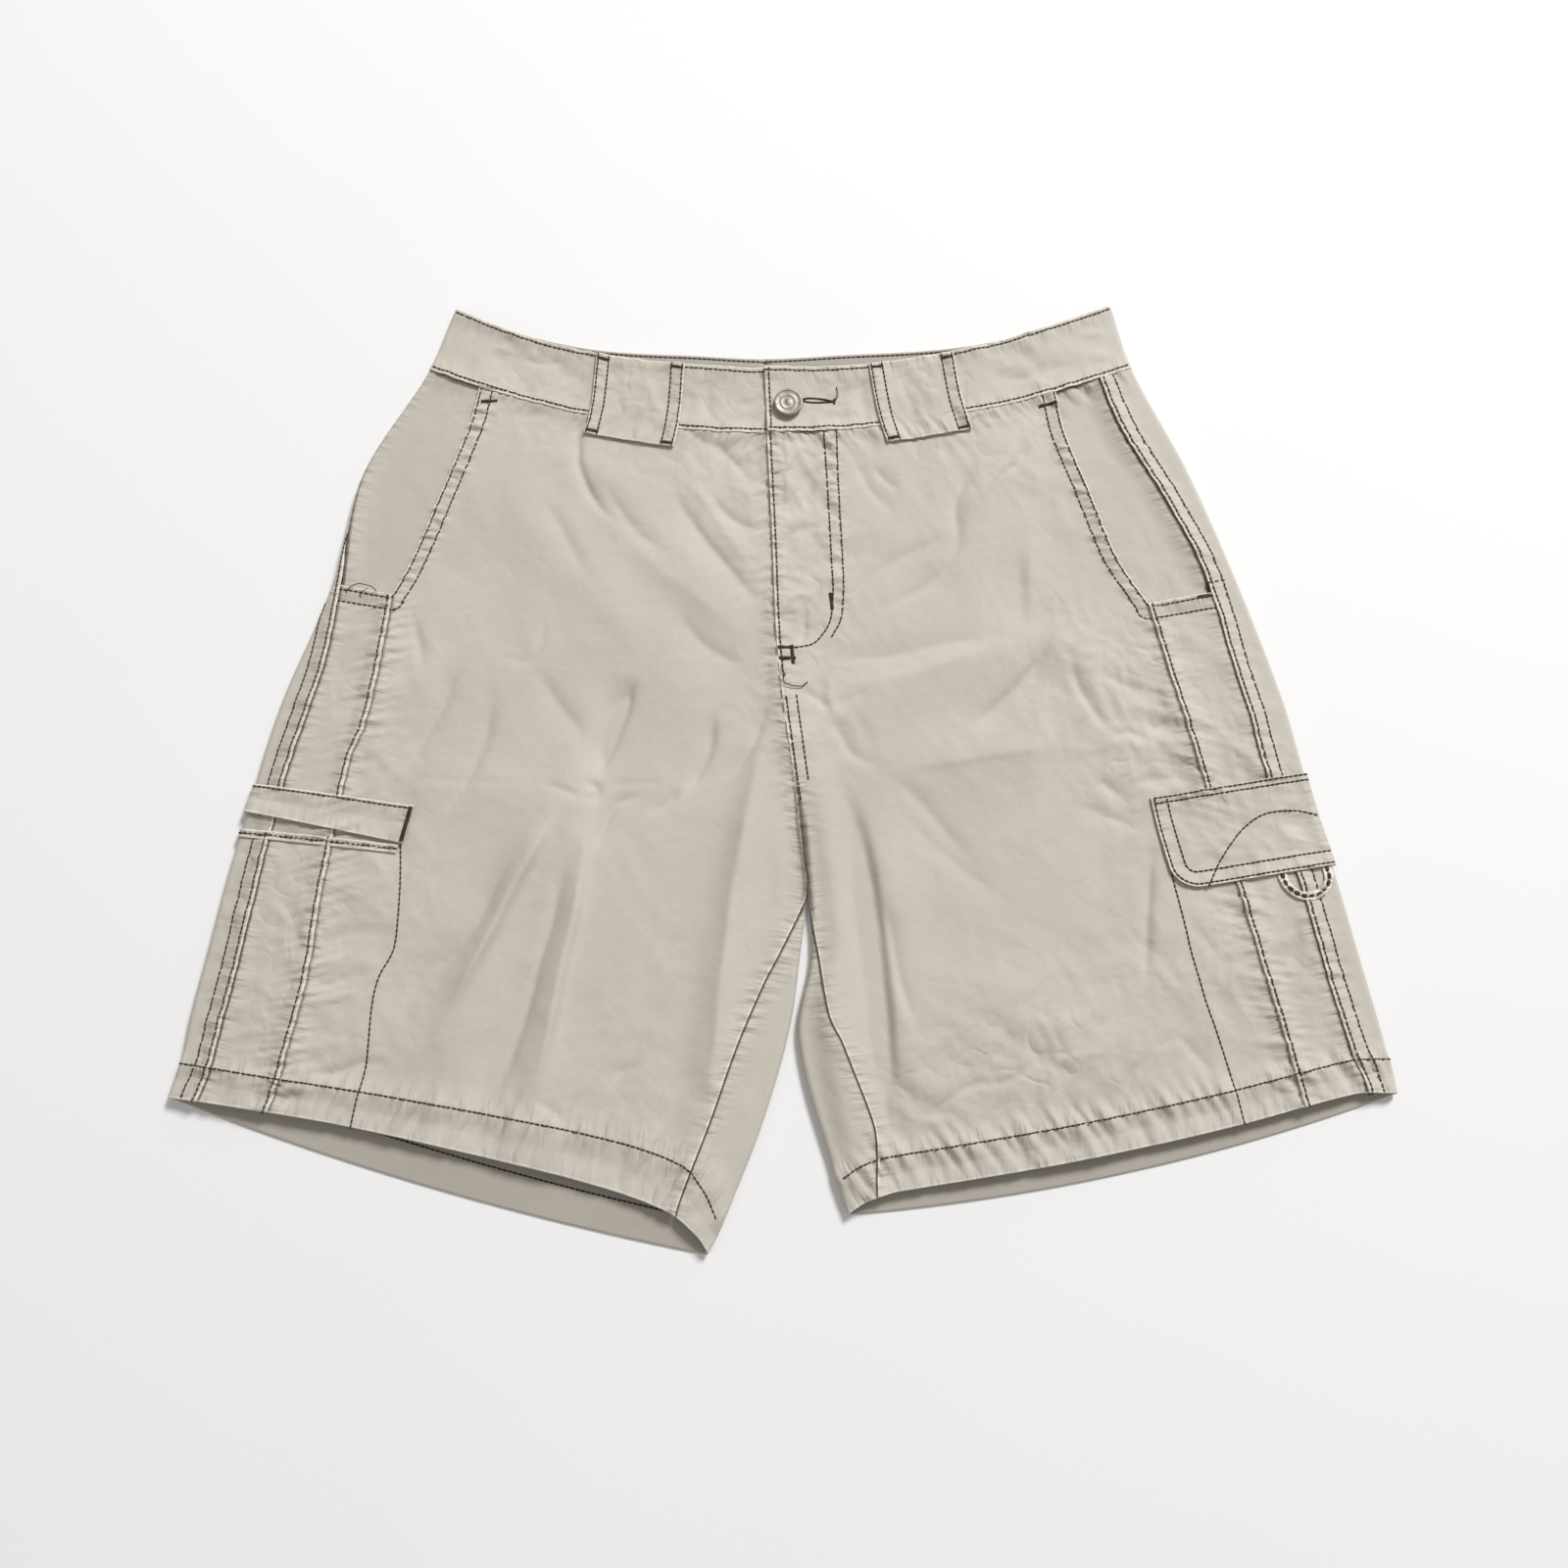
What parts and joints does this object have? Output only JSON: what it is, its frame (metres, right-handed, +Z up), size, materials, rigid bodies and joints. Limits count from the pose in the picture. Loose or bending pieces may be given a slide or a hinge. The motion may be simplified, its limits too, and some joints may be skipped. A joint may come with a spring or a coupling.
{
  "type": "cargo shorts",
  "caption": "Knee-length cargo shorts laid flat, with waistband, fly, slant front pockets, side panels, cargo pocket band and flap, and turned hems.",
  "frame": {"origin": "on the surface that the shorts lie on, under the middle of their bounding box", "axes": "+Z up from the surface, +Y towards the waistband, +X towards the wearer's left leg"},
  "size_m": [0.6208, 0.515, 0.0122],
  "materials": {
    "cloth": "stone-coloured washed cotton with a soft sheen and darker stitching",
    "tape": "cream cotton tape",
    "button": "dull nickel"
  },
  "bodies": {
    "root": {"front_right": "cloth", "side_panel_right": "cloth", "back_right": "cloth", "pocket_facing_right": "cloth", "waistband_right": "cloth", "belt_loop_right": "cloth", "front_left": "cloth", "side_panel_left": "cloth", "back_left": "cloth", "pocket_facing_left": "cloth", "waistband_left": "cloth", "belt_loop_left": "cloth", "cargo_band_right": "cloth", "cargo_lip_right": "cloth", "cargo_flap_left": "cloth", "pull_loop_left": "tape", "button": "button"}
  },
  "joints": []
}
